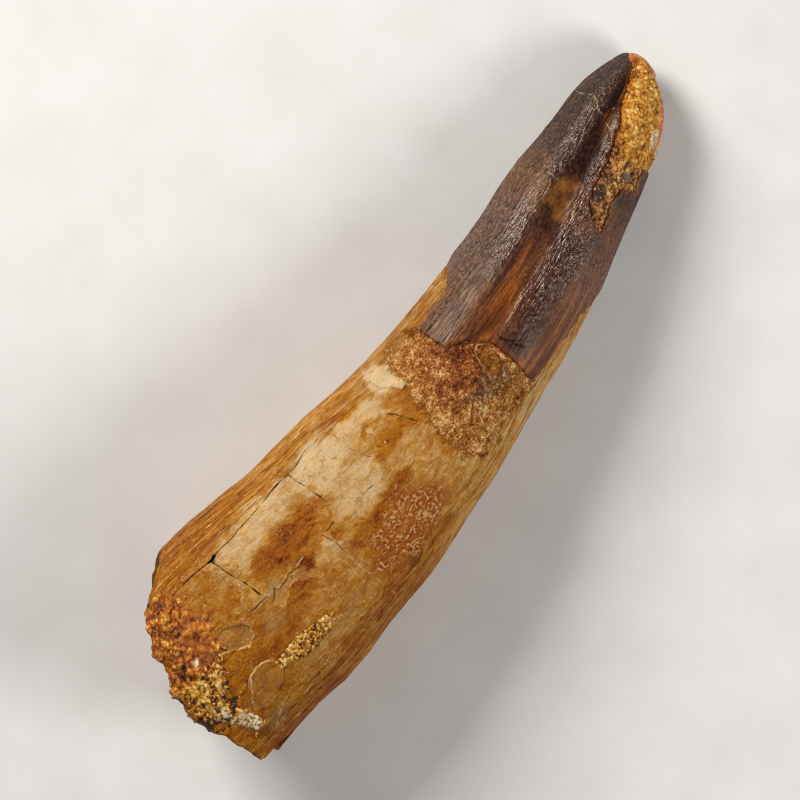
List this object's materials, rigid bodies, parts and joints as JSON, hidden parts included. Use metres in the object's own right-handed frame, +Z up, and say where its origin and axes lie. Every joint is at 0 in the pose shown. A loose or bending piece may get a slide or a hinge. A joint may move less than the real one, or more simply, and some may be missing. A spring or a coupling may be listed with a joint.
{
  "type": "fossil dinosaur tooth",
  "caption": "Long curved conical fossil tooth lying on its side: dark fluted crown, brown cracked root broken off at its end, with crusts of sandstone.",
  "frame": {"origin": "on the surface that the tooth lies on, under the middle of its bounding box", "axes": "+X from the broken root end to the tip, +Y towards the hollow side of the tooth's curve, +Z up"},
  "size_m": [0.06, 0.018, 0.0136],
  "materials": {
    "tooth": "satin, mineral-stained dentine, with glossier dark enamel on the crown",
    "sandstone": "rough ochre sand grains cemented together"
  },
  "bodies": {
    "root": {"tooth": "tooth", "tip_sandstone": "sandstone", "root_end_sandstone": "sandstone", "pit_sandstone": "sandstone"}
  },
  "joints": []
}
